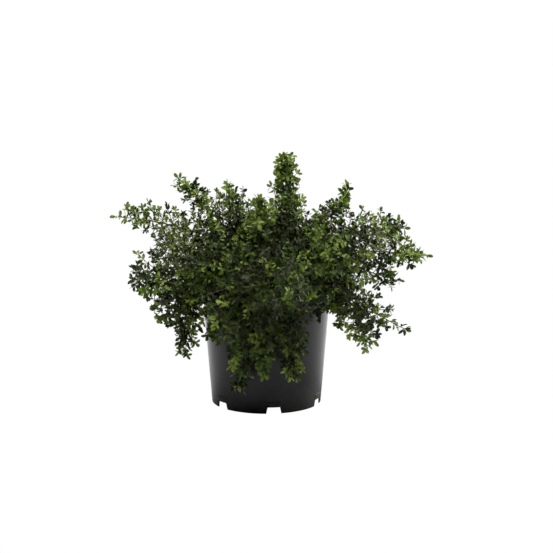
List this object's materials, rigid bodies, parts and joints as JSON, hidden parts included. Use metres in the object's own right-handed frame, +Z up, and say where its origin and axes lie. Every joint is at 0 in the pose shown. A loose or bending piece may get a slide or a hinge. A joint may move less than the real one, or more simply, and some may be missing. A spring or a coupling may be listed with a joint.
{
  "type": "potted ceanothus",
  "caption": "Low, spreading evergreen shrub with small glossy leaves on arching and hanging shoots, growing in a round black nursery pot with a notched foot.",
  "frame": {"origin": "on the ground, on the pot's axis, below the middle of the plant", "axes": "+Z up; +X to the right of the picture's view; -Y towards its viewer"},
  "size_m": [0.5335, 0.4899, 0.409],
  "materials": {
    "pot_plastic": "satin black moulded plastic",
    "potting_mix": "coarse moist bark-based mix",
    "bark": "thin rough bark",
    "foliage": "leathery leaves with a satin shine"
  },
  "bodies": {
    "root": {"pot": "pot_plastic", "soil": "potting_mix", "trunk": "bark", "bough_crest": "bark", "foliage_crest": "foliage", "bough_upper_left": "bark", "foliage_upper_left": "foliage", "bough_upper_right": "bark", "foliage_upper_right": "foliage", "bough_upper_front": "bark", "foliage_upper_front": "foliage", "bough_upper_back_left": "bark", "foliage_upper_back_left": "foliage", "bough_upper_back_right": "bark", "foliage_upper_back_right": "foliage", "bough_far_left": "bark", "foliage_far_left": "foliage", "bough_left": "bark", "foliage_left": "foliage", "bough_right_shoulder": "bark", "foliage_right_shoulder": "foliage", "bough_right_arch": "bark", "foliage_right_arch": "foliage", "bough_right": "bark", "foliage_right": "foliage", "bough_back_left": "bark", "foliage_back_left": "foliage", "bough_back": "bark", "foliage_back": "foliage", "bough_back_right": "bark", "foliage_back_right": "foliage", "bough_front_left": "bark", "foliage_front_left": "foliage", "bough_front": "bark", "foliage_front": "foliage", "bough_front_right": "bark", "foliage_front_right": "foliage", "bough_left_low": "bark", "foliage_left_low": "foliage", "bough_front_low": "bark", "foliage_front_low": "foliage", "bough_right_low": "bark", "foliage_right_low": "foliage", "bough_back_low": "bark", "foliage_back_low": "foliage", "bough_left_hang": "bark", "foliage_left_hang": "foliage", "bough_right_hang": "bark", "foliage_right_hang": "foliage", "bough_front_hang_left": "bark", "foliage_front_hang_left": "foliage", "bough_front_hang_right": "bark", "foliage_front_hang_right": "foliage", "bough_back_hang": "bark", "foliage_back_hang": "foliage", "bough_left_fall": "bark", "foliage_left_fall": "foliage", "bough_right_fall": "bark", "foliage_right_fall": "foliage"}
  },
  "joints": []
}
